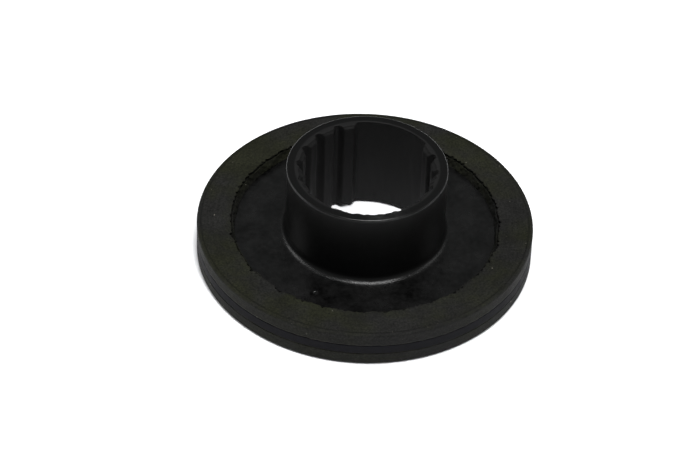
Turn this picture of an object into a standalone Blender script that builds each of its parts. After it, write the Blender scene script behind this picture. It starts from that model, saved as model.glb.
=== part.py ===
"""Splined-hub friction disc: a toothed hub body formed onto a core plate, with a friction ring bonded to
each side of the plate.

Metres, +Z up along the disc's axis. The origin is on the axis, in the plane of the lower friction face.
"""

import math

import bmesh
import bpy
from mathutils import Matrix

MM = 0.001

# Friction disc
DISC_RADIUS = 45.0 * MM
DISC_THICKNESS = 10.0 * MM
RING_BORE_RADIUS = 35.8 * MM
RING_EDGE_CHAMFER = 0.4 * MM

# Core plate, which sits at the middle of the disc's thickness
CORE_THICKNESS = 2.6 * MM
CORE_BORE_RADIUS = 25.5 * MM
KEY_COUNT = 8
KEY_CIRCLE_RADIUS = 29.5 * MM
KEY_RADIUS = 2.2 * MM

# Bond film, in the middle of the space between the core plate and a friction ring
BOND_SPACE = 0.5 * MM
BOND_THICKNESS = 0.1 * MM
BOND_SETBACK = 0.4 * MM

# Hub body
HUB_RADIUS = 21.35 * MM
HUB_BOTTOM_Z = 0.4 * MM
HUB_TOP_Z = 28.4 * MM
HUB_EDGE_CHAMFER = 0.4 * MM
WEB_THICKNESS = 4.6 * MM
UPPER_FOOT_RADIUS = 1.9 * MM
LOWER_FOOT_RADIUS = 1.2 * MM
WEB_RADIUS = 35.5 * MM

# Toothed bore: the teeth stand on a pitch of 20 degrees, and three of the places are left blank
TOOTH_PLACES = 18
TOOTH_COUNT = 15
FIRST_TOOTH_ANGLE = math.radians(63.0)
BORE_ROOT_RADIUS = 18.8 * MM
BORE_TIP_RADIUS = 17.05 * MM
TOOTH_ROOT_ANGLE = math.radians(16.2)
TOOTH_TIP_ANGLE = math.radians(9.2)
ROOT_ARC_STEP = math.radians(7.5)

# 45 degree lead-in chamfers at the bore's mouths. The upper one is cut a little off the axis, to the front
UPPER_MOUTH_RADIUS = 18.35 * MM
UPPER_MOUTH_OFFSET_Y = -0.55 * MM
LOWER_MOUTH_RADIUS = 18.05 * MM

# Clearance between pieces that touch on the real disc
CLEARANCE = 0.3 * MM

ROUND_SEGMENTS = 72
FILLET_SEGMENTS = 4
KEY_SEGMENTS = 16
CUTTER_OVERSHOOT = 2.0 * MM

DISC_MIDDLE_Z = DISC_THICKNESS / 2


def clear_scene():
    for old in list(bpy.data.objects):
        bpy.data.objects.remove(old, do_unlink=True)


def make_material(name, colour, roughness, metallic):
    material = bpy.data.materials.new(name)
    material.use_nodes = True
    shader = material.node_tree.nodes["Principled BSDF"]
    shader.inputs["Base Color"].default_value = (*colour, 1.0)
    shader.inputs["Roughness"].default_value = roughness
    shader.inputs["Metallic"].default_value = metallic
    return material


def add_object(name, mesh_builder, material=None):
    """Puts a bmesh into the scene as a named object. With no material it is a hidden cutter."""
    mesh = bpy.data.meshes.new(name)
    mesh_builder.to_mesh(mesh)
    mesh_builder.free()
    mesh.shade_smooth()
    mesh.set_sharp_from_angle(angle=math.radians(30.0))
    obj = bpy.data.objects.new(name, mesh)
    bpy.context.scene.collection.objects.link(obj)
    if material:
        mesh.materials.append(material)
    else:
        obj.hide_render = True
        obj.display_type = "WIRE"
    return obj


def cut(target, cutter):
    modifier = target.modifiers.new("cut_" + cutter.name, "BOOLEAN")
    modifier.operation = "DIFFERENCE"
    modifier.solver = "EXACT"
    modifier.object = cutter


def turned(profile):
    """A closed outline of (radius, z) points, turned about the Z axis."""
    builder = bmesh.new()
    vertices = [builder.verts.new((radius, 0.0, z)) for radius, z in profile]
    edges = [
        builder.edges.new((vertex, vertices[(i + 1) % len(vertices)]))
        for i, vertex in enumerate(vertices)
    ]
    bmesh.ops.spin(
        builder,
        geom=vertices + edges,
        cent=(0.0, 0.0, 0.0),
        axis=(0.0, 0.0, 1.0),
        angle=math.tau,
        steps=ROUND_SEGMENTS,
        use_merge=True,
    )
    bmesh.ops.remove_doubles(builder, verts=builder.verts[:], dist=1e-6)
    bmesh.ops.recalc_face_normals(builder, faces=builder.faces[:])
    return builder


def extruded(outline, bottom_z, top_z):
    """A closed outline of (x, y) points, extruded from one height to another."""
    builder = bmesh.new()
    face = builder.faces.new([builder.verts.new((x, y, bottom_z)) for x, y in outline])
    sides = bmesh.ops.extrude_face_region(builder, geom=[face])
    top = [item for item in sides["geom"] if isinstance(item, bmesh.types.BMVert)]
    bmesh.ops.translate(builder, verts=top, vec=(0.0, 0.0, top_z - bottom_z))
    bmesh.ops.recalc_face_normals(builder, faces=builder.faces[:])
    return builder


def at_angle(radius, angle):
    """A point at this angle from +Y, turning towards +X."""
    return radius * math.sin(angle), radius * math.cos(angle)


def fillet(corner_radius, corner_z, arc_radius, upward):
    """Arc points that blend a tube wall into a flat web, from the wall out to the web.

    upward is +1 where the wall rises from the web, and -1 where it hangs below.
    """
    centre_radius = corner_radius + arc_radius
    centre_z = corner_z + upward * arc_radius
    points = []
    for i in range(FILLET_SEGMENTS + 1):
        turn = math.pi / 2 * i / FILLET_SEGMENTS
        points.append(
            (
                centre_radius - arc_radius * math.cos(turn),
                centre_z - upward * arc_radius * math.sin(turn),
            )
        )
    return points


def bore_outline():
    """The bore's cross-section: trapezoid teeth, then one long root arc across the blank places."""
    pitch = math.tau / TOOTH_PLACES
    outline = []
    for place in range(TOOTH_COUNT):
        middle = FIRST_TOOTH_ANGLE + place * pitch
        half_root = TOOTH_ROOT_ANGLE / 2
        half_tip = TOOTH_TIP_ANGLE / 2
        outline.append(at_angle(BORE_ROOT_RADIUS, middle - half_root))
        outline.append(at_angle(BORE_TIP_RADIUS, middle - half_tip))
        outline.append(at_angle(BORE_TIP_RADIUS, middle))
        outline.append(at_angle(BORE_TIP_RADIUS, middle + half_tip))
        outline.append(at_angle(BORE_ROOT_RADIUS, middle + half_root))
    blank_start = FIRST_TOOTH_ANGLE + (TOOTH_COUNT - 1) * pitch + TOOTH_ROOT_ANGLE / 2
    blank_end = FIRST_TOOTH_ANGLE - TOOTH_ROOT_ANGLE / 2 + math.tau
    steps = round((blank_end - blank_start) / ROOT_ARC_STEP)
    for i in range(1, steps):
        angle = blank_start + (blank_end - blank_start) * i / steps
        outline.append(at_angle(BORE_ROOT_RADIUS, angle))
    return outline


def make_bore_cutter():
    return add_object(
        "bore_cutter",
        extruded(bore_outline(), HUB_BOTTOM_Z - CUTTER_OVERSHOOT, HUB_TOP_Z + CUTTER_OVERSHOOT),
    )


def make_lead_in_cutter(name, mouth_radius, mouth_z, outward):
    """A 45 degree cone frustum, mouth_radius wide at the mouth. outward is +1 at the top and -1 below."""
    depth = mouth_radius - BORE_TIP_RADIUS + CUTTER_OVERSHOOT
    narrow = mouth_radius - depth
    wide = mouth_radius + CUTTER_OVERSHOOT
    low_radius, high_radius = (narrow, wide) if outward > 0 else (wide, narrow)
    middle_z = mouth_z + outward * (CUTTER_OVERSHOOT - depth) / 2
    half_segment = Matrix.Rotation(math.pi / ROUND_SEGMENTS, 4, "Z")
    builder = bmesh.new()
    bmesh.ops.create_cone(
        builder,
        cap_ends=True,
        segments=ROUND_SEGMENTS,
        radius1=low_radius,
        radius2=high_radius,
        depth=depth + CUTTER_OVERSHOOT,
        matrix=Matrix.Translation((0.0, 0.0, middle_z)) @ half_segment,
    )
    return add_object(name, builder)


def key_places():
    for i in range(KEY_COUNT):
        yield at_angle(KEY_CIRCLE_RADIUS, math.tau * (i + 0.5) / KEY_COUNT)


def circle(centre, radius):
    return [
        (
            centre[0] + radius * math.cos(math.tau * i / KEY_SEGMENTS),
            centre[1] + radius * math.sin(math.tau * i / KEY_SEGMENTS),
        )
        for i in range(KEY_SEGMENTS)
    ]


def make_key_cutter(name, radius):
    """One object that holds the cylinders of all the keying holes."""
    builder = bmesh.new()
    for centre in key_places():
        hole = bpy.data.meshes.new("hole")
        cylinder = extruded(
            circle(centre, radius), DISC_MIDDLE_Z - WEB_THICKNESS, DISC_MIDDLE_Z + WEB_THICKNESS
        )
        cylinder.to_mesh(hole)
        cylinder.free()
        builder.from_mesh(hole)
        bpy.data.meshes.remove(hole)
    return add_object(name, builder)


def make_slot_cutter():
    """The space that the core plate takes in the web: an open ring, less the keys that cross it."""
    half = CORE_THICKNESS / 2 + CLEARANCE
    inner = CORE_BORE_RADIUS - CLEARANCE
    outer = WEB_RADIUS + CUTTER_OVERSHOOT
    low, high = DISC_MIDDLE_Z - half, DISC_MIDDLE_Z + half
    cutter = add_object(
        "slot_cutter", turned([(inner, low), (outer, low), (outer, high), (inner, high)])
    )
    cut(cutter, make_key_cutter("key_cutter", KEY_RADIUS))
    return cutter


def make_hub_body():
    """The collar with its foot and web, less the bore and the core plate's slot."""
    web_low = DISC_MIDDLE_Z - WEB_THICKNESS / 2
    web_high = DISC_MIDDLE_Z + WEB_THICKNESS / 2
    blank_radius = BORE_TIP_RADIUS - CUTTER_OVERSHOOT
    upper_foot = fillet(HUB_RADIUS, web_high, UPPER_FOOT_RADIUS, upward=1)
    lower_foot = fillet(HUB_RADIUS, web_low, LOWER_FOOT_RADIUS, upward=-1)
    edge = HUB_EDGE_CHAMFER
    profile = (
        [(blank_radius, HUB_BOTTOM_Z), (blank_radius, HUB_TOP_Z)]
        + [(HUB_RADIUS - edge, HUB_TOP_Z), (HUB_RADIUS, HUB_TOP_Z - edge)]
        + upper_foot
        + [(WEB_RADIUS, web_high), (WEB_RADIUS, web_low)]
        + lower_foot[::-1]
        + [(HUB_RADIUS, HUB_BOTTOM_Z + edge), (HUB_RADIUS - edge, HUB_BOTTOM_Z)]
    )
    black = make_material("black_coated_casting", (0.012, 0.012, 0.013), 0.42, 0.0)
    hub = add_object("hub_body", turned(profile), black)
    cut(hub, make_bore_cutter())
    upper_mouth = make_lead_in_cutter("upper_mouth_cutter", UPPER_MOUTH_RADIUS, HUB_TOP_Z, outward=1)
    upper_mouth.location.y = UPPER_MOUTH_OFFSET_Y
    cut(hub, upper_mouth)
    cut(hub, make_lead_in_cutter("lower_mouth_cutter", LOWER_MOUTH_RADIUS, HUB_BOTTOM_Z, outward=-1))
    cut(hub, make_slot_cutter())
    return hub


def make_core_plate():
    low = DISC_MIDDLE_Z - CORE_THICKNESS / 2
    high = DISC_MIDDLE_Z + CORE_THICKNESS / 2
    steel = make_material("blued_steel", (0.020, 0.021, 0.026), 0.32, 0.0)
    outline = [(CORE_BORE_RADIUS, low), (DISC_RADIUS, low), (DISC_RADIUS, high), (CORE_BORE_RADIUS, high)]
    plate = add_object("core_plate", turned(outline), steel)
    cut(plate, make_key_cutter("key_hole_cutter", KEY_RADIUS + CLEARANCE))
    return plate


def ring_profile(side):
    """A friction ring's outline. side is +1 for the upper ring and -1 for the lower one."""
    inner_face = DISC_MIDDLE_Z + side * (CORE_THICKNESS / 2 + BOND_SPACE)
    outer_face = DISC_MIDDLE_Z + side * DISC_THICKNESS / 2
    edge = RING_EDGE_CHAMFER
    return [
        (RING_BORE_RADIUS, inner_face),
        (DISC_RADIUS, inner_face),
        (DISC_RADIUS, outer_face - side * edge),
        (DISC_RADIUS - edge, outer_face),
        (RING_BORE_RADIUS, outer_face),
    ]


def make_friction_ring(name, side, material):
    return add_object(name, turned(ring_profile(side)), material)


def make_bond_film(name, side, material):
    middle = DISC_MIDDLE_Z + side * (CORE_THICKNESS + BOND_SPACE) / 2
    low, high = middle - BOND_THICKNESS / 2, middle + BOND_THICKNESS / 2
    inner = RING_BORE_RADIUS + BOND_SETBACK
    outer = DISC_RADIUS - BOND_SETBACK
    return add_object(name, turned([(inner, low), (outer, low), (outer, high), (inner, high)]), material)


def main():
    clear_scene()
    make_hub_body()
    make_core_plate()
    compound = make_material("friction_compound", (0.036, 0.035, 0.026), 0.85, 0.0)
    adhesive = make_material("cured_adhesive", (0.060, 0.030, 0.010), 0.55, 0.0)
    make_friction_ring("upper_friction_ring", 1, compound)
    make_friction_ring("lower_friction_ring", -1, compound)
    make_bond_film("upper_bond_film", 1, adhesive)
    make_bond_film("lower_bond_film", -1, adhesive)


main()
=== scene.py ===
"""Splined-hub friction disc: fine shapes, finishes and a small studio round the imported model.

Metres, +Z up along the disc's axis. An angle round the axis is measured from +Y towards +X.
"""

import math

import bpy
import numpy as np
from bpy.props import FloatProperty, FloatVectorProperty, IntProperty, PointerProperty
from mathutils import Matrix, Vector


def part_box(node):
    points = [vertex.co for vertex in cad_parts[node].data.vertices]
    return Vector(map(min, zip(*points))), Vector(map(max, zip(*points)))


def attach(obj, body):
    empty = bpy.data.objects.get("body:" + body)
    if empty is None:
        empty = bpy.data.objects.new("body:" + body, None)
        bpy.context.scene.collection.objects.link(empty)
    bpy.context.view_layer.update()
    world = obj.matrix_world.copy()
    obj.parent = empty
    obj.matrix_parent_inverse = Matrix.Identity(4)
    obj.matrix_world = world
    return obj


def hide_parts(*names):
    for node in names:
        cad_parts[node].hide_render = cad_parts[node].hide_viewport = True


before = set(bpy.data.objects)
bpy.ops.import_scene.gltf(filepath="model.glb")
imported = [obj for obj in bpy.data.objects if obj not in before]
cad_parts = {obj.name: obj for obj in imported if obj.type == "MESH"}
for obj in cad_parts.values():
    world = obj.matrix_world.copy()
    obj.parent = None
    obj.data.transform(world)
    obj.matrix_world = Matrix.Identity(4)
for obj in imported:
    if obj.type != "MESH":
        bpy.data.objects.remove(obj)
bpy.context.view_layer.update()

bl_info = {
    "name": "Friction Disc",
    "version": (1, 0, 0),
    "blender": (4, 5, 0),
    "location": "3D View > Sidebar > Friction Disc",
    "description": "Builds a splined-hub friction disc, its finishes and a studio for it",
    "category": "Object",
}

MM = 0.001

UPPER_RING_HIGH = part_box("upper_friction_ring")[1]
LOWER_RING_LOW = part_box("lower_friction_ring")[0]
PLATE_LOW, PLATE_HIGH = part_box("core_plate")
HUB_LOW, HUB_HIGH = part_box("hub_body")

DISC_MIDDLE = (PLATE_LOW.z + PLATE_HIGH.z) / 2

NICK_ANGLE = math.radians(-126.0)
GATE_MARK_ANGLE = math.radians(-154.4)
GATE_MARK_RADIUS = 29.6 * MM
# Angle round the axis of the painted highlight at the front of the hub's end face.
FRONT_GLINT_ANGLE = math.radians(15.0)

FILM_THICKNESS = 0.2 * MM
SLOT_GAP = 0.05 * MM
FLECK_COLOUR = "706e64"

FLOOR_GAP = 0.1 * MM
LIGHT_TARGET = (0.0, 0.0, 0.01)
CAMERA_PLACE = (-0.00733, -0.60128, 0.54142)
LENS_MM = 160.0
SENSOR_WIDTH_MM = 36.0


def linear(hex_colour):
    """A linear colour from an sRGB hex value."""
    srgb = np.array([int(hex_colour[i : i + 2], 16) for i in (0, 2, 4)]) / 255
    low = srgb / 12.92
    high = ((srgb + 0.055) / 1.055) ** 2.4
    return tuple(float(value) for value in np.where(srgb <= 0.04045, low, high))


def length_property(name, millimetres, description):
    return FloatProperty(
        name=name,
        description=description,
        default=millimetres * MM,
        min=0.0,
        unit="LENGTH",
        precision=5,
    )


def angle_property(name, degrees, description):
    return FloatProperty(
        name=name, description=description, default=math.radians(degrees), subtype="ANGLE"
    )


def colour_property(name, hex_colour, description):
    return FloatVectorProperty(
        name=name,
        description=description,
        default=linear(hex_colour),
        size=3,
        min=0.0,
        max=1.0,
        subtype="COLOR",
    )


class HubSettings(bpy.types.PropertyGroup):
    collar_radius: length_property("Collar radius", 21.35, "Outer radius of the tall collar")
    web_radius: length_property("Web radius", 35.6, "Radius at which the web meets the rings")
    web_thickness: length_property("Web thickness", 4.6, "Thickness of the flat web")
    upper_foot: length_property("Upper foot radius", 1.9, "Fillet above the web")
    lower_foot: length_property("Lower foot radius", 1.2, "Fillet below the web")
    edge_radius: length_property("Edge radius", 0.4, "Rounding of the collar's outer edges")
    root_radius: length_property("Bore root radius", 18.8, "Radius between the teeth")
    tip_radius: length_property("Bore tip radius", 17.05, "Radius at the teeth's tips")
    tooth_places: IntProperty(
        name="Tooth places", description="Number of places round the bore", default=18, min=3
    )
    tooth_count: IntProperty(
        name="Teeth", description="Number of places that hold a tooth", default=15, min=1
    )
    first_tooth: angle_property("First tooth", 63.0, "Angle of the first tooth's middle")
    root_angle: angle_property("Tooth root width", 16.2, "Angle that a tooth takes at its root")
    tip_angle: angle_property("Tooth tip width", 9.2, "Angle that a tooth takes at its tip")
    upper_mouth: length_property("Upper mouth radius", 18.35, "Radius of the upper lead-in")
    mouth_offset: length_property("Upper mouth offset", 0.55, "How far it is off the axis")
    lower_mouth: length_property("Lower mouth radius", 18.05, "Radius of the lower lead-in")
    colour: colour_property("Hub colour", "060606", "Colour of the black casting")


class DiscSettings(bpy.types.PropertyGroup):
    ring_bore: length_property("Ring bore radius", 35.8, "Inner radius of the friction rings")
    ring_edge: length_property("Ring edge radius", 0.7, "Rounding of the rings' outer edges")
    wall_foot: length_property("Wall foot", 2.3, "Height of the web's face above the middle")
    fillet_width: length_property("Fillet width", 0.95, "Width of the adhesive beside the bore")
    chip_depth: length_property("Chip depth", 0.45, "Depth of the chips at the inner edge")
    nick_depth: length_property("Nick depth", 1.3, "Depth of the one large nick at the inner edge")
    groove_radius: length_property("Groove radius", 43.9, "Radius of the fine groove in the face")
    plate_bore: length_property("Plate bore radius", 25.5, "Inner radius of the core plate")
    film_setback: length_property("Film setback", 0.12, "How far the film stays inside the rim")
    rim: length_property("Rim radius", 45.0, "Outer radius of the friction rings")
    ring_colour: colour_property("Friction colour", "16170f", "Olive colour of the compound")
    grey_colour: colour_property("Grey friction colour", "161615", "Greyer colour of the compound")
    plate_colour: colour_property("Plate colour", "101013", "Colour of the core plate")
    film_colour: colour_property("Film colour", "191713", "Colour of the bond film")


class StageSettings(bpy.types.PropertyGroup):
    floor_radius: length_property("Floor radius", 4000.0, "Radius of the round floor")
    floor_colour: colour_property("Floor colour", "f4f4f6", "Colour of the floor")
    camera_elevation: angle_property("Camera elevation", 41.592, "Angle above the horizon")
    camera_roll: angle_property("Camera roll", 2.01, "Turn of the camera about its own axis")


# Shapes


def ring_mesh(name, radius, height):
    """A closed ring from two arrays, whose rows go round the axis and whose columns go round the section.

    The point in row i of n is at angle 2 pi i / n, and both directions close on themselves. The section
    runs up the inside, outwards over the top and down the outside.
    """
    rows, columns = radius.shape
    angle = angles(rows)
    points = np.stack([radius * np.sin(angle), radius * np.cos(angle), height], axis=-1)
    index = np.arange(rows * columns).reshape(rows, columns)
    beside = np.roll(index, -1, axis=0)
    faces = np.stack(
        [index, beside, np.roll(beside, -1, axis=1), np.roll(index, -1, axis=1)], axis=-1
    )
    mesh = bpy.data.meshes.new(name)
    mesh.from_pydata(points.reshape(-1, 3).tolist(), [], faces.reshape(-1, 4).tolist())
    mesh.shade_smooth()
    mesh.update()
    return mesh


def add_piece(name, mesh, material):
    mesh.materials.append(material)
    piece = bpy.data.objects.new(name, mesh)
    bpy.context.scene.collection.objects.link(piece)
    return piece


def angles(rows):
    """Evenly spaced angles round the axis, as a column."""
    return np.linspace(0.0, math.tau, rows, endpoint=False)[:, None]


def waves(angle, along, seed, turns, length, count=40):
    """A sum of sine waves in the angle and in a length along the section, about 1 high.

    Each wave goes round the axis a whole number of times between the two values in turns, so the sum
    closes on itself, and repeats along the section at no less than the given length.
    """
    rng = np.random.default_rng(seed)
    total = 0.0
    for _ in range(count):
        around = rng.integers(turns[0], turns[1] + 1) * rng.choice((-1, 1))
        slope = math.tau * rng.uniform(0.0, 1.0) / length
        total = total + np.sin(around * angle + slope * along + rng.uniform(0.0, math.tau))
    return total / math.sqrt(count / 2)


def soft_clip(value, softness):
    """value held between 0 and 1, with the two corners rounded into hyperbolas."""
    return (np.hypot(value, softness) - np.hypot(value - 1.0, softness) + 1.0) / 2


def soft_max(first, second, softness):
    """The larger of two values, with the crease between them rounded into a hyperbola."""
    return (first + second + np.hypot(first - second, softness)) / 2


def run(start, end, steps):
    """Evenly spaced section points from start, which is included, to end, which isn't."""
    share = np.linspace(0.0, 1.0, steps, endpoint=False)[:, None]
    return np.array(start) + (np.array(end) - np.array(start)) * share


def arc(centre, radius, start, end, steps):
    """Section points on a quarter arc. The angles are in degrees from outwards towards up."""
    turn = np.radians(np.linspace(start, end, steps))
    return np.array(centre) + radius * np.stack([np.cos(turn), np.sin(turn)], axis=1)


def signed_turn(angle):
    """An angle brought between minus and plus half a turn."""
    return (angle + math.pi) % math.tau - math.pi


def dimple(angle, radius, place, at_radius, width):
    """A bell, 1 high at that place on a flat face, that falls to 1/e at width from it."""
    across = signed_turn(angle - place) * at_radius
    return np.exp(-((across / width) ** 2) - ((radius - at_radius) / width) ** 2)


def tooth_radius(angle, hub):
    """The bore's radius: root radius, less the tooth's height times a trapezoid with rounded corners.

    The trapezoid is 1 over a tip and 0 past its root, and stands on each place that holds a tooth.
    """
    pitch = math.tau / hub.tooth_places
    from_first = (angle - hub.first_tooth + pitch / 2) % math.tau
    holds_tooth = from_first < hub.tooth_count * pitch
    off_middle = np.abs(from_first % pitch - pitch / 2)
    flank = (hub.root_angle - hub.tip_angle) / 2
    rise = soft_clip((hub.root_angle / 2 - off_middle) / flank, 0.12) * holds_tooth
    return hub.root_radius - (hub.root_radius - hub.tip_radius) * rise


def bore_radius(angle, height, hub):
    """The toothed bore, widened at each end to a 45 degree cone. The upper cone is off the axis."""
    teeth = tooth_radius(angle, hub) + 0.03 * MM * waves(angle, height, 3, (6, 60), 9 * MM)
    upper = hub.upper_mouth - (HUB_HIGH.z - height) + 0.10 * MM * waves(angle, height, 5, (5, 70), 4 * MM)
    upper = np.maximum(upper, hub.mouth_offset)
    upper = np.sqrt(upper**2 - (hub.mouth_offset * np.sin(angle)) ** 2)
    upper = upper - hub.mouth_offset * np.cos(angle)
    lower = hub.lower_mouth - (height - HUB_LOW.z) + 0.08 * MM * waves(angle, height, 7, (5, 70), 4 * MM)
    return soft_max(soft_max(teeth, upper, 0.15 * MM), lower, 0.15 * MM)


def bore_rows(corner):
    """Heights up the bore, close together in the two lead-ins."""
    upper_start = HUB_HIGH.z - 2.4 * MM
    lower_end = HUB_LOW.z + 1.6 * MM
    return np.concatenate(
        [
            np.linspace(HUB_LOW.z + corner, lower_end, 10, endpoint=False),
            np.linspace(lower_end, upper_start, 11, endpoint=False),
            np.linspace(upper_start, HUB_HIGH.z - corner, 20),
        ]
    )


def hub_outline(hub):
    """The outside of the hub's section, from its top face down to its bottom face."""
    edge = hub.edge_radius
    web_low = DISC_MIDDLE - hub.web_thickness / 2
    web_high = DISC_MIDDLE + hub.web_thickness / 2
    slot_low, slot_high = PLATE_LOW.z - SLOT_GAP, PLATE_HIGH.z + SLOT_GAP
    slot_end = 25.2 * MM
    upper, lower = hub.upper_foot, hub.lower_foot
    wall, rim = hub.collar_radius, hub.web_radius
    bend = 0.25 * MM
    return np.concatenate(
        [
            arc((wall - edge, HUB_HIGH.z - edge), edge, 90, 0, 6),
            run((wall, HUB_HIGH.z - edge - 0.4 * MM), (wall, web_high + upper + 0.4 * MM), 7),
            run((wall, web_high + upper + 0.4 * MM), (wall, web_high + upper), 1),
            arc((wall + upper, web_high + upper), upper, 180, 270, 12),
            run((wall + upper + 0.4 * MM, web_high), (rim - bend, web_high), 24),
            arc((rim - bend, web_high - bend), bend, 90, 0, 3),
            run((rim, slot_high + 0.1 * MM), (rim, slot_high), 1),
            run((rim, slot_high), (slot_end, slot_high), 3),
            run((slot_end, slot_high), (slot_end, slot_low), 2),
            run((slot_end, slot_low), (rim, slot_low), 3),
            run((rim, slot_low), (rim, slot_low - 0.1 * MM), 1),
            arc((rim - bend, web_low + bend), bend, 0, -90, 3),
            run((rim - bend - 0.4 * MM, web_low), (wall + lower + 0.4 * MM, web_low), 7),
            run((wall + lower + 0.4 * MM, web_low), (wall + lower, web_low), 1),
            arc((wall + lower, web_low - lower), lower, 90, 180, 7),
            arc((wall - edge, HUB_LOW.z + edge), edge, 0, -90, 5),
        ]
    )


def end_face(angle, inner, outer, height, steps):
    """Rows across a flat end face, from an inner radius that follows the bore to a round outer edge."""
    share = np.linspace(0.0, 1.0, steps + 2)[1:-1]
    share = 0.5 - 0.5 * np.cos(math.pi * share)
    radius = inner + (outer - inner) * share
    return radius, np.full_like(radius, height) + 0.0 * angle


def make_hub(hub, rows):
    """One closed surface of the angle and of the way round the section.

    Up the bore the radius is the toothed bore's at each angle and height. Over the top it runs from the
    bore's mouth to the collar's edge, and then the outline is the same at every angle. Slow waves and the
    gate mark, a low mound with a pit in it, are then added to the web's upper face.
    """
    angle = angles(rows)
    corner = 0.25 * MM
    height = bore_rows(corner) + 0.0 * angle
    bore = bore_radius(angle, height, hub)
    turn = np.radians(np.linspace(0.0, 90.0, 5))[1:]
    mouth = bore[:, -1:]
    top_radius = mouth + corner * (1 - np.cos(turn))
    top_height = HUB_HIGH.z - corner * (1 - np.sin(turn)) + 0.0 * angle
    foot = bore[:, :1]
    low_radius = foot + corner * (1 - np.cos(turn[::-1]))
    low_height = HUB_LOW.z + corner * (1 - np.sin(turn[::-1])) + 0.0 * angle

    outline = hub_outline(hub)
    outer_radius = outline[:, 0] + 0.0 * angle
    outer_height = outline[:, 1] + 0.0 * angle
    end_radius = hub.collar_radius - hub.edge_radius
    top = end_face(angle, top_radius[:, -1:], end_radius, HUB_HIGH.z, 6)
    low = end_face(angle, low_radius[:, :1], end_radius, HUB_LOW.z, 4)

    on_web = (outer_radius > hub.collar_radius + 0.5 * MM) & (outer_height > PLATE_HIGH.z + 0.4 * MM)
    sink = 0.02 * MM * waves(angle, outer_radius + outer_height, 11, (2, 14), 12 * MM)
    mound_height, mound_width = 0.22 * MM, 1.1 * MM
    pit_depth, pit_width = 0.60 * MM, 0.6 * MM
    mound = mound_height * dimple(angle, outer_radius, GATE_MARK_ANGLE, GATE_MARK_RADIUS, mound_width)
    pit = -pit_depth * dimple(angle, outer_radius, GATE_MARK_ANGLE, GATE_MARK_RADIUS, pit_width)
    outer_height = outer_height + on_web * (sink + mound + pit)

    radius = np.concatenate([bore, top_radius, top[0], outer_radius, low[0][:, ::-1], low_radius], axis=1)
    height = np.concatenate([height, top_height, top[1], outer_height, low[1], low_height], axis=1)
    return ring_mesh("hub_body_cast", radius, height)


def ring_wall(disc, low, high):
    """Section points up the ring's bore, as distances from the bore's radius and heights.

    Adhesive fills the corner over the web as a slope. A narrow crevice parts it from the ring's edge.
    """
    foot, crest, floor = disc.wall_foot, high - 0.45 * MM, high - 0.85 * MM
    slope_width, crest_inner, crest_outer = disc.fillet_width, -0.32 * MM, -0.20 * MM
    floor_inner, floor_outer = -0.06 * MM, 0.08 * MM
    return np.concatenate(
        [
            run((0.0, low), (0.0, foot - 0.04 * MM), 2),
            run((-slope_width + 0.1 * MM, foot - 0.01 * MM), (-slope_width, foot + 0.01 * MM), 1),
            run((-slope_width, foot + 0.01 * MM), (crest_inner, crest), 14),
            run((crest_inner, crest), (crest_outer, crest - 0.02 * MM), 2),
            run((crest_outer, crest - 0.02 * MM), (floor_inner, floor), 3),
            run((floor_inner, floor), (floor_outer, floor + 0.05 * MM), 2),
            run((floor_outer, floor + 0.05 * MM), (0.0, high), 9),
        ]
    )


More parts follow.
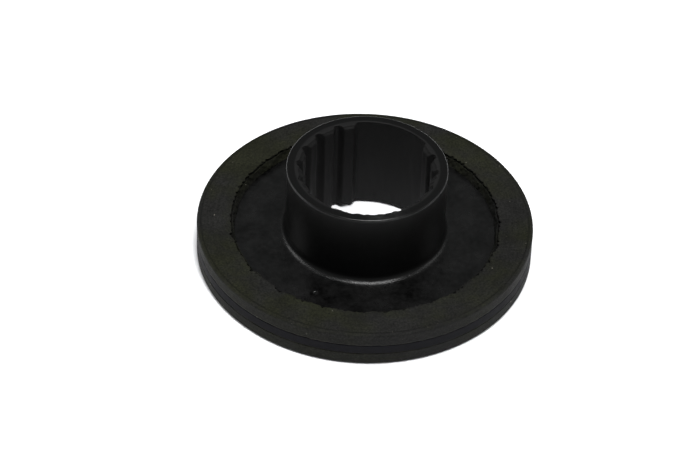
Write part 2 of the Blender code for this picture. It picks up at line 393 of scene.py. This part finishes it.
def make_friction_ring(name, disc, side, rows, seed):
    """A ring with a chipped bore, a ground face and a rounded outer edge.

    The section is drawn for the upper ring and mirrored for the lower one. The bore follows ring_wall,
    plus a sum of waves that is strongest in the crevice's outer wall, and one nick, a bell round the
    axis that fades with the depth below the face. Shallow waves, which only dip below the face, and one
    fine groove close to its edge are then cut into it.
    """
    angle = angles(rows)
    low = (PLATE_HIGH.z - PLATE_LOW.z) / 2 + FILM_THICKNESS
    high = UPPER_RING_HIGH.z - DISC_MIDDLE
    bore, rim, edge = disc.ring_bore, disc.rim, disc.ring_edge
    section = ring_wall(disc, low, high - 0.05 * MM)
    wall_height = section[:, 1] + 0.0 * angle
    depth = high - wall_height
    ragged = waves(angle, wall_height, seed, (30, 190), 1.5 * MM, 60)
    broad = waves(angle, wall_height, seed + 1, (8, 40), 4 * MM)
    in_crevice = soft_clip((section[:, 0] + 0.12 * MM) / (0.12 * MM), 0.1) * (depth < 1.0 * MM)
    chips = disc.chip_depth * in_crevice * np.maximum(0.0, 0.30 + 0.45 * ragged + 0.35 * broad)
    across = signed_turn(angle - NICK_ANGLE) * bore
    nick_width, nick_reach = 0.6 * MM, 1.2 * MM
    nick = disc.nick_depth * np.exp(-((across / nick_width) ** 2) - depth / nick_reach)
    on_slope = (section[:, 0] < -0.15 * MM) & (section[:, 1] > disc.wall_foot)
    lumps = on_slope * (0.06 * MM * ragged + 0.10 * MM * broad)
    wall = bore + section[:, 0] + chips + nick + lumps

    lip = wall[:, -1:] + 0.10 * MM
    share = np.linspace(0.0, 1.0, 40)
    face_radius = lip + (rim - edge - lip) * share
    drift = 0.05 * MM * waves(angle, 0.0, seed + 5, (1, 9), 1.0, 12)
    groove_width = 0.13 * MM
    groove = np.exp(-(((face_radius - disc.groove_radius + drift) / groove_width) ** 2))
    groove_depth = 0.10 * MM * np.abs(1.0 + 0.5 * waves(angle, 0.0, seed + 2, (1, 9), 1.0, 12))
    wear = 0.008 * MM * waves(angle, face_radius, seed + 3, (0, 3), 1.6 * MM, 30)
    face_height = high - np.abs(wear) - groove * groove_depth
    face_height[:, 0] -= 0.02 * MM

    corner = arc((rim - edge, high - edge), edge, 84, 0, 8)
    side_height = np.linspace(high - edge - 0.3 * MM, low, 8)
    side_wave = 0.02 * MM * waves(angle, side_height, seed + 4, (6, 60), 3 * MM)
    base = np.array([rim - 1.0 * MM, bore + 1.0 * MM])
    radius = np.concatenate(
        [wall, face_radius, corner[:, 0] + 0.0 * angle, rim - np.abs(side_wave), base + 0.0 * angle],
        axis=1,
    )
    height = np.concatenate(
        [
            wall_height,
            face_height,
            corner[:, 1] + 0.0 * angle,
            side_height + 0.0 * angle,
            np.full(2, low) + 0.0 * angle,
        ],
        axis=1,
    )
    if side < 0:
        radius, height = radius[:, ::-1], -height[:, ::-1]
    return ring_mesh(name, radius, DISC_MIDDLE + height)


def make_plate(disc, rows):
    """The core plate: a flat ring whose rim is slightly rounded by the blanking tool."""
    angle = angles(rows)
    low, high, rim, bore = PLATE_LOW.z, PLATE_HIGH.z, PLATE_HIGH.x, disc.plate_bore
    edge = 0.18 * MM
    section = np.concatenate(
        [
            run((bore, low), (bore, high), 3),
            run((bore, high), (rim - edge, high), 5),
            arc((rim - edge, high - edge), edge, 90, 0, 4),
            run((rim, high - edge - 0.2 * MM), (rim, low + edge), 6),
            arc((rim - edge, low + edge), edge, 0, -90, 4),
            run((rim - edge - 0.3 * MM, low), (bore, low), 5),
        ]
    )
    radius = section[:, 0] + 0.0 * angle
    height = section[:, 1] + 0.0 * angle
    on_rim = radius > rim - 0.1 * MM
    radius = radius - on_rim * 0.012 * MM * np.abs(waves(angle, height, 31, (10, 70), 2 * MM))
    return ring_mesh("core_plate_rim", radius, height)


def make_film(name, disc, side, rows, seed):
    """A bond film between plate and ring, whose outer edge waves where the adhesive was squeezed out."""
    angle = angles(rows)
    low, high = PLATE_HIGH.z, PLATE_HIGH.z + FILM_THICKNESS
    bore = disc.ring_bore + 0.3 * MM
    rim = PLATE_HIGH.x - disc.film_setback
    section = np.concatenate(
        [
            run((bore, low), (bore, high), 2),
            run((bore, high), (rim, high), 4),
            run((rim, high), (rim, low), 3),
            run((rim, low), (bore, low), 4),
        ]
    )
    radius = section[:, 0] + 0.0 * angle
    height = section[:, 1] + 0.0 * angle
    squeeze = 0.05 * MM * waves(angle, 0.0, seed, (10, 120), 1.0)
    radius = radius + (radius > rim - 0.2 * MM) * np.clip(squeeze, -0.1 * MM, 0.1 * MM)
    if side < 0:
        radius, height = radius[:, ::-1], 2 * DISC_MIDDLE - height[:, ::-1]
    return ring_mesh(name, radius, height)


# Materials


def node(tree, kind, inputs=(), output=None, **settings):
    """Adds a shader node with its settings and links, and gives back one of its outputs.

    The inputs are values or other nodes' outputs. A dictionary says which socket each is for, and a
    tuple fills the sockets in use in their order. The output is the first in use, unless it is named.
    """
    made = tree.nodes.new("ShaderNode" + kind)
    for name, value in settings.items():
        setattr(made, name, value)
    sockets = [socket for socket in made.inputs if socket.enabled]
    if isinstance(inputs, dict):
        sockets = [made.inputs[name] for name in inputs]
        inputs = inputs.values()
    for socket, value in zip(sockets, inputs):
        if isinstance(value, bpy.types.NodeSocket):
            tree.links.new(value, socket)
        else:
            socket.default_value = value
    if output:
        return made.outputs[output]
    return next(socket for socket in made.outputs if socket.enabled)


def new_material(name, **shader_values):
    """A material with a Principled shader, whose plain values stand on the shader's own sockets."""
    material = bpy.data.materials.new(name)
    material.use_nodes = True
    shader = material.node_tree.nodes["Principled BSDF"]
    for socket, value in shader_values.items():
        shader.inputs[socket.replace("_", " ")].default_value = value
    return material, material.node_tree, shader


def tinted(colour, factor):
    """A colour made lighter or darker, as the four values that a socket takes."""
    return (*(min(1.0, channel * factor) for channel in colour), 1.0)


def radius_from_axis(tree, place):
    """The distance from the disc's axis."""
    flat = node(tree, "VectorMath", (place, (1.0, 1.0, 0.0)), operation="MULTIPLY")
    return node(tree, "VectorMath", (flat,), operation="LENGTH")


def angle_round_axis(tree, place):
    """The angle from the front, which is -Y, positive towards +X."""
    across = node(tree, "SeparateXYZ", (place,), "X")
    forward = node(tree, "Math", (across.node.outputs["Y"], -1.0), operation="MULTIPLY")
    return node(tree, "Math", (across, forward), operation="ARCTAN2")


def cast_hub_material(hub):
    """Black e-coat over a shot-blasted casting.

    The coat follows the blasted surface, so it glints in fine grains at the collar's foot, where light
    strikes it, and lies a little greyer in broad patches on the web. In the bore it is duller, and its
    colour is darker at the teeth's tips than at their roots. Pale patches at the front of the end face
    are a painted highlight in place of the glint there, and a broken pale line along the collar's outer
    edge is a painted highlight on its rounding.
    """
    material, tree, shader = new_material("black_e_coat_on_blasted_casting", Specular_IOR_Level=0.21)
    top, root, collar = HUB_HIGH.z, hub.root_radius, hub.collar_radius
    blast_grain, coat_depth = 0.4 * MM, 0.08 * MM
    place = node(tree, "TexCoord", output="Object")
    radius = radius_from_axis(tree, place)
    height = node(tree, "SeparateXYZ", (place,), "Z")
    patches = node(tree, "TexNoise", (place, 1 / (8 * MM), 6.0, 0.7))

    # How light the bore is, darker at the teeth's tips and lighter at their roots, and 1 everywhere else.
    bore_tip_to_root_tone = node(tree, "MapRange", (radius, hub.tip_radius, root, 0.3, 1.2))
    outside = node(tree, "MapRange", (radius, root + 0.1 * MM, root + 0.6 * MM))
    in_mouth = node(tree, "MapRange", (height, top - 1.8 * MM, top - 0.8 * MM))
    off_teeth = node(tree, "Math", (outside, in_mouth), operation="MAXIMUM")
    bore_tone = node(tree, "Mix", (off_teeth, bore_tip_to_root_tone, 1.0))

    # Painted highlights: pale patches at the front of the end face, and a broken pale line along its
    # outer edge.
    glint_whole, glint_gone = 0.12, 0.34
    on_end = node(tree, "MapRange", (height, top - 0.7 * MM, top - 0.3 * MM))
    off_glint = node(tree, "Math", (angle_round_axis(tree, place), FRONT_GLINT_ANGLE), operation="SUBTRACT")
    off_glint = node(tree, "Math", (off_glint,), operation="ABSOLUTE")
    in_front = node(tree, "MapRange", (off_glint, glint_whole, glint_gone, 1.0, 0.0))
    front_glint = node(tree, "TexNoise", (place, 1 / (1.6 * MM), 5.0, 0.75))
    front_glint = node(tree, "MapRange", (front_glint, 0.40, 0.60))
    front_glint = node(tree, "Math", (in_front, front_glint), operation="MULTIPLY")
    on_edge = node(tree, "MapRange", (radius, collar - 0.40 * MM, collar - 0.15 * MM))
    edge_glint = node(tree, "TexNoise", (place, 1 / (2.5 * MM), 4.0, 0.6))
    edge_glint = node(tree, "MapRange", (edge_glint, 0.42, 0.62))
    edge_glint = node(tree, "Math", (on_edge, edge_glint), operation="MULTIPLY")
    # Both masks are painted highlights, made many times lighter in colour.
    painted_front_highlight = node(tree, "Math", (front_glint, 12.0), operation="MULTIPLY")
    painted_edge_highlight = node(tree, "Math", (edge_glint, 3.0), operation="MULTIPLY")
    painted_highlight = node(tree, "Math", (painted_front_highlight, painted_edge_highlight), operation="ADD")
    painted_highlight = node(tree, "Math", (painted_highlight, on_end), operation="MULTIPLY")

    on_web = node(tree, "MapRange", (radius, collar + 0.2 * MM, collar + 1.5 * MM))
    blotches = node(tree, "TexNoise", (place, 1 / (1.4 * MM), 4.0, 0.7))
    blotches = node(tree, "Mix", (0.4, patches, blotches))
    blotches = node(tree, "MapRange", (blotches, 0.38, 0.62))
    dark, light = tinted(hub.colour, 0.4), tinted(hub.colour, 2.8)
    mottled = node(tree, "Mix", (blotches, dark, light), data_type="RGBA")
    wall, end = tinted(hub.colour, 1.3), tinted(hub.colour, 0.5)
    plain = node(tree, "Mix", (on_end, wall, end), data_type="RGBA")
    colour = node(tree, "Mix", (on_web, plain, mottled), data_type="RGBA")
    # The bore's tip-to-root tone plus the painted highlights on the end face.
    lightness = node(tree, "Math", (bore_tone, painted_highlight), operation="ADD")
    colour = node(tree, "VectorMath", (colour, lightness), operation="SCALE")
    tree.links.new(colour, shader.inputs["Base Color"])

    web_rough = node(tree, "MapRange", (patches, 0.3, 0.7, 0.20, 0.30))
    rough = node(tree, "Mix", (on_web, 0.29, web_rough))
    rough = node(tree, "Mix", (outside, 0.75, rough))
    tree.links.new(rough, shader.inputs["Roughness"])

    # The grain is nearly lost on the collar's wall, shows at its foot and fades again on the web.
    off_wall = node(tree, "MapRange", (radius, collar + 0.1 * MM, collar + 0.6 * MM, 0.06, 1.0))
    to_web = node(tree, "MapRange", (radius, collar + 2.0 * MM, collar + 4.0 * MM, 1.0, 0.45))
    strength = node(tree, "Math", (off_wall, to_web), operation="MULTIPLY")
    grain = node(tree, "TexNoise", (place, 1 / blast_grain, 2.0, 0.6))
    bump = node(tree, "Bump", {"Height": grain, "Strength": strength, "Distance": coat_depth})
    tree.links.new(bump, shader.inputs["Normal"])
    return material


def compound_material(disc):
    """Resin-bound friction compound, moulded and then ground flat.

    Grinding leaves it matte and even, with fine rings round the axis, pale mineral flecks and dark
    pores of a few tenths of a millimetre. The outer side is greyer and a little smoother than the face,
    and painted brighter, standing in for light that the lamps don't give it. Painted shade darkens the
    bore, most of all its crevice, and the fine groove near the outer edge.
    """
    material, tree, shader = new_material(
        "ground_resin_bound_friction_compound", Specular_IOR_Level=0.08
    )
    bore, rim = disc.ring_bore, disc.rim
    past_bore = bore + 1.0 * MM
    grit_size, grit_depth, fleck_spacing = 0.55 * MM, 0.15 * MM, 1.3 * MM
    place = node(tree, "TexCoord", output="Object")
    radius = radius_from_axis(tree, place)
    height = node(tree, "SeparateXYZ", (place,), "Z")

    # Olive and greyer patches, each with its own lighter and darker lumps.
    tone = node(tree, "TexNoise", (place, 1 / (7 * MM), 5.0, 0.65))
    lumps = node(tree, "MapRange", (tone, 0.3, 0.75))
    olive = (lumps, tinted(disc.ring_colour, 0.75), tinted(disc.ring_colour, 1.35))
    grey = (lumps, tinted(disc.grey_colour, 0.75), tinted(disc.grey_colour, 1.35))
    olive = node(tree, "Mix", olive, data_type="RGBA")
    grey = node(tree, "Mix", grey, data_type="RGBA")
    cast = node(tree, "TexNoise", (place, 1 / (16 * MM), 3.0, 0.6))
    cast = node(tree, "MapRange", (cast, 0.42, 0.6))
    base = node(tree, "Mix", (cast, olive, grey), data_type="RGBA")
    on_outer_side = node(tree, "MapRange", (radius, rim - 0.30 * MM, rim - 0.05 * MM))
    greyer = node(tree, "Math", (on_outer_side, 0.5), operation="MULTIPLY")
    base = node(tree, "Mix", (greyer, base, (*disc.grey_colour, 1.0)), data_type="RGBA")

    # Painted shade in the bore, most of all in its crevice, and in the fine groove, as the share of the
    # light that it takes away.
    off_middle = node(tree, "Math", (height, DISC_MIDDLE), operation="SUBTRACT")
    off_middle = node(tree, "Math", (off_middle,), operation="ABSOLUTE")
    face_height = UPPER_RING_HIGH.z - DISC_MIDDLE
    below_face = node(tree, "Math", (face_height, off_middle), operation="SUBTRACT")
    below_lip = node(tree, "MapRange", (below_face, 0.06 * MM, 0.14 * MM))
    in_bore = node(tree, "MapRange", (radius, past_bore + 0.4 * MM, past_bore))
    in_bore = node(tree, "Math", (in_bore, below_lip), operation="MULTIPLY")
    in_crevice = node(tree, "MapRange", (radius, bore - 0.30 * MM, bore - 0.16 * MM, 0.15, 0.62))
    bore_shade = node(tree, "Math", (in_bore, in_crevice), operation="MULTIPLY")
    off_groove = node(tree, "Math", (radius, disc.groove_radius), operation="SUBTRACT")
    off_groove = node(tree, "Math", (off_groove,), operation="ABSOLUTE")
    in_groove = node(tree, "MapRange", (off_groove, 0.10 * MM, 0.22 * MM, 0.55, 0.0))
    broken = node(tree, "MapRange", (tone, 0.35, 0.55))
    groove_shade = node(tree, "Math", (in_groove, broken), operation="MULTIPLY")
    painted_shade = node(tree, "Math", (bore_shade, groove_shade), operation="MAXIMUM")

    # Grinding rings and grit.
    along_radius = node(tree, "CombineXYZ", (radius,))
    rings = node(tree, "TexNoise", (along_radius, 1 / (0.7 * MM), 3.0, 0.6))
    rings = node(tree, "MapRange", (rings, 0.3, 0.7, 0.86, 1.14))
    grit = node(tree, "TexNoise", (place, 1 / grit_size, 4.0, 0.75))
    speckle = node(tree, "MapRange", (grit, 0.32, 0.68, 0.35, 1.8))
    speckle = node(tree, "Math", (speckle, rings), operation="MULTIPLY")
    # The outer side is painted brighter, standing in for light that the lamps don't give it, and the
    # painted shade is taken away.
    lighter = node(tree, "Math", (on_outer_side, 0.12), operation="MULTIPLY")
    lighter = node(tree, "Math", (lighter, painted_shade), operation="SUBTRACT")
    lightness = node(tree, "Math", (lighter, 1.0), operation="ADD")
    lightness = node(tree, "Math", (speckle, lightness), operation="MULTIPLY")
    shaded = node(tree, "VectorMath", (base, lightness), operation="SCALE")

    # About one cell in eight holds a fleck. The cell's own random colour gives its size and strength.
    off_cell = node(tree, "TexVoronoi", (place, 1 / fleck_spacing), "Distance")
    red = node(tree, "SeparateColor", (off_cell.node.outputs["Color"],), "Red")
    fleck_size = node(tree, "MapRange", (red, 0.88, 1.0, 0.0, 0.20))
    fleck = node(tree, "Math", (off_cell, fleck_size), operation="LESS_THAN")
    fleck = node(tree, "Math", (fleck, red.node.outputs["Green"]), operation="MULTIPLY")
    mineral = tinted(linear(FLECK_COLOUR), 1.0)
    flecked = node(tree, "Mix", (fleck, shaded, mineral), data_type="RGBA")
    tree.links.new(flecked, shader.inputs["Base Color"])

    smooth = node(tree, "MapRange", (radius, rim - disc.ring_edge - 0.2 * MM, rim - 0.2 * MM))
    tree.links.new(node(tree, "Mix", (smooth, 0.85, 0.66)), shader.inputs["Roughness"])
    bump = node(tree, "Bump", {"Height": grit, "Strength": 0.6, "Distance": grit_depth})
    tree.links.new(bump, shader.inputs["Normal"])
    return material


def plate_material(disc):
    """Blued steel plate, blanked and left as the tool cut it, so its rim is dark with upright streaks."""
    material, tree, shader = new_material("blued_steel_plate", Specular_IOR_Level=0.06)
    streak_width, streak_depth = 1.6 * MM, 0.08 * MM
    place = node(tree, "TexCoord", output="Object")
    upright = node(tree, "Mapping", {"Vector": place, "Scale": (1.0, 1.0, 0.3)})
    streaks = node(tree, "TexNoise", (upright, 1 / streak_width, 5.0, 0.7))
    share = node(tree, "MapRange", (streaks, 0.3, 0.7))
    dark, light = tinted(disc.plate_colour, 0.6), tinted(disc.plate_colour, 1.5)
    colour = node(tree, "Mix", (share, dark, light), data_type="RGBA")
    tree.links.new(colour, shader.inputs["Base Color"])
    tree.links.new(node(tree, "Mix", (share, 0.55, 0.75)), shader.inputs["Roughness"])
    bump = node(tree, "Bump", {"Height": streaks, "Strength": 0.4, "Distance": streak_depth})
    tree.links.new(bump, shader.inputs["Normal"])
    return material


def film_material(disc):
    """Cured phenolic adhesive, pressed out and left as it set, so it is dark and uneven in gloss."""
    material, tree, shader = new_material("cured_phenolic_adhesive", Specular_IOR_Level=0.08)
    bead_size = 0.8 * MM
    place = node(tree, "TexCoord", output="Object")
    beads = node(tree, "TexNoise", (place, 1 / bead_size, 3.0, 0.6))
    beads = node(tree, "MapRange", (beads, 0.3, 0.7))
    dark, light = tinted(disc.film_colour, 0.7), tinted(disc.film_colour, 1.5)
    colour = node(tree, "Mix", (beads, dark, light), data_type="RGBA")
    tree.links.new(colour, shader.inputs["Base Color"])
    tree.links.new(node(tree, "Mix", (beads, 0.45, 0.7)), shader.inputs["Roughness"])
    return material


def floor_material(stage):
    """Matt seamless paper, calendered smooth, so it scatters light evenly and has no sheen."""
    material, tree, shader = new_material(
        "matt_seamless_paper", Specular_IOR_Level=0.1, Roughness=0.95
    )
    fibre_clump = 4 * MM
    place = node(tree, "TexCoord", output="Object")
    fibre = node(tree, "TexNoise", (place, 1 / fibre_clump, 4.0, 0.6))
    dark, light = tinted(stage.floor_colour, 0.98), tinted(stage.floor_colour, 1.0)
    colour = node(tree, "Mix", (fibre, dark, light), data_type="RGBA")
    tree.links.new(colour, shader.inputs["Base Color"])
    return material


# Stage


def make_floor(stage):
    """A flat round floor: a grid of radius and angle, closer together near the middle."""
    rows, columns = 96, 12
    angle = angles(rows)
    radius = stage.floor_radius * np.linspace(0.0, 1.0, columns + 1)[1:] ** 2
    points = np.stack(
        [radius * np.sin(angle), radius * np.cos(angle), 0.0 * radius + 0.0 * angle], axis=-1
    ).reshape(-1, 3)
    index = np.arange(rows * columns).reshape(rows, columns)
    beside = np.roll(index, -1, axis=0)
    quads = np.stack([index[:, :-1], index[:, 1:], beside[:, 1:], beside[:, :-1]], axis=-1)
    faces = quads.reshape(-1, 4)[:, ::-1].tolist() + [index[:, 0][::-1].tolist()]
    mesh = bpy.data.meshes.new("paper_floor")
    mesh.from_pydata(points.tolist(), [], faces)
    floor = add_piece("paper_floor", mesh, floor_material(stage))
    floor.location.z = LOWER_RING_LOW.z - FLOOR_GAP
    return floor


def add_area_light(name, size, power, place):
    light = bpy.data.lights.new(name, "AREA")
    light.shape = "ELLIPSE"
    light.size, light.size_y = size
    light.energy = power
    lamp = bpy.data.objects.new(name, light)
    bpy.context.scene.collection.objects.link(lamp)
    lamp.location = place
    towards = Vector(LIGHT_TARGET) - Vector(place)
    lamp.rotation_euler = towards.to_track_quat("-Z", "Y").to_euler()


def add_camera(stage):
    """A long lens at the angle above the horizon and with the roll that the settings give."""
    camera = bpy.data.cameras.new("camera")
    camera.lens = LENS_MM
    camera.sensor_width = SENSOR_WIDTH_MM
    camera.clip_start = 0.01
    camera.clip_end = 50.0
    holder = bpy.data.objects.new("camera", camera)
    bpy.context.scene.collection.objects.link(holder)
    holder.matrix_world = (
        Matrix.Translation(CAMERA_PLACE)
        @ Matrix.Rotation(math.pi / 2 - stage.camera_elevation, 4, "X")
        @ Matrix.Rotation(stage.camera_roll, 4, "Z")
    )
    bpy.context.scene.camera = holder


class FRICTION_DISC_OT_hub(bpy.types.Operator):
    """Build the hub body: a tall collar with a toothed bore, on a flat web"""

    bl_idname = "friction_disc.hub"
    bl_label = "Build Hub"

    def execute(self, context):
        hub = context.scene.friction_disc_hub
        piece = add_piece("hub_body_cast", make_hub(hub, 720), cast_hub_material(hub))
        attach(piece, "root")
        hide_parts("hub_body")
        return {"FINISHED"}


class FRICTION_DISC_OT_rings(bpy.types.Operator):
    """Build the two friction rings, with chipped bores and ground faces"""

    bl_idname = "friction_disc.rings"
    bl_label = "Build Friction Rings"

    def execute(self, context):
        disc = context.scene.friction_disc_disc
        compound = compound_material(disc)
        for side, where in ((1, "upper"), (-1, "lower")):
            name = where + "_friction_ring_ground"
            piece = add_piece(name, make_friction_ring(name, disc, side, 1080, 40 + side), compound)
            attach(piece, "root")
            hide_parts(where + "_friction_ring")
        return {"FINISHED"}


class FRICTION_DISC_OT_plate(bpy.types.Operator):
    """Build the core plate, whose rim shows between the friction rings"""

    bl_idname = "friction_disc.plate"
    bl_label = "Build Core Plate"

    def execute(self, context):
        disc = context.scene.friction_disc_disc
        piece = add_piece("core_plate_rim", make_plate(disc, 720), plate_material(disc))
        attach(piece, "root")
        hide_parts("core_plate")
        return {"FINISHED"}


class FRICTION_DISC_OT_films(bpy.types.Operator):
    """Build the two bond films, which show as thin lines beside the core plate"""

    bl_idname = "friction_disc.films"
    bl_label = "Build Bond Films"

    def execute(self, context):
        disc = context.scene.friction_disc_disc
        adhesive = film_material(disc)
        for side, where in ((1, "upper"), (-1, "lower")):
            name = where + "_bond_film_pressed"
            piece = add_piece(name, make_film(name, disc, side, 720, 60 + side), adhesive)
            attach(piece, "root")
            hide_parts(where + "_bond_film")
        return {"FINISHED"}


class FRICTION_DISC_OT_stage(bpy.types.Operator):
    """Build the floor, the soft lights and the camera"""

    bl_idname = "friction_disc.stage"
    bl_label = "Build Studio"

    def execute(self, context):
        scene = context.scene
        stage = scene.friction_disc_stage
        make_floor(stage)
        add_area_light("overhead_softbox", size=(0.25, 1.0), power=24.0, place=(0.11, -0.20, 1.3))
        add_area_light("left_softbox", size=(0.7, 0.7), power=7.0, place=(-1.1, 0.3, 0.9))
        add_area_light("right_softbox", size=(0.7, 0.7), power=3.0, place=(1.1, 0.3, 0.9))
        world = bpy.data.worlds.new("studio_room")
        world.use_nodes = True
        background = world.node_tree.nodes["Background"]
        background.inputs["Color"].default_value = (0.97, 1.0, 0.99, 1.0)
        background.inputs["Strength"].default_value = 0.26
        scene.world = world
        scene.view_settings.view_transform = "Standard"
        add_camera(stage)
        return {"FINISHED"}


class FRICTION_DISC_PT_panel(bpy.types.Panel):
    """Settings and build buttons"""

    bl_idname = "FRICTION_DISC_PT_panel"
    bl_label = "Friction Disc"
    bl_space_type = "VIEW_3D"
    bl_region_type = "UI"
    bl_category = "Friction Disc"

    def draw(self, context):
        scene = context.scene
        for settings in (scene.friction_disc_hub, scene.friction_disc_disc, scene.friction_disc_stage):
            box = self.layout.box()
            for name in settings.__annotations__:
                box.prop(settings, name)
        for operator in OPERATORS:
            self.layout.operator(operator.bl_idname)


SETTINGS = {
    "friction_disc_hub": HubSettings,
    "friction_disc_disc": DiscSettings,
    "friction_disc_stage": StageSettings,
}
OPERATORS = (
    FRICTION_DISC_OT_hub,
    FRICTION_DISC_OT_rings,
    FRICTION_DISC_OT_plate,
    FRICTION_DISC_OT_films,
    FRICTION_DISC_OT_stage,
)


def register():
    for cls in (*SETTINGS.values(), *OPERATORS, FRICTION_DISC_PT_panel):
        bpy.utils.register_class(cls)
    for name, group in SETTINGS.items():
        setattr(bpy.types.Scene, name, PointerProperty(type=group))


def unregister():
    for name in SETTINGS:
        delattr(bpy.types.Scene, name)
    for cls in (FRICTION_DISC_PT_panel, *OPERATORS[::-1], *SETTINGS.values()):
        bpy.utils.unregister_class(cls)


def main():
    register()
    bpy.ops.friction_disc.hub()
    bpy.ops.friction_disc.rings()
    bpy.ops.friction_disc.plate()
    bpy.ops.friction_disc.films()
    bpy.ops.friction_disc.stage()


if __name__ == "__main__":
    main()
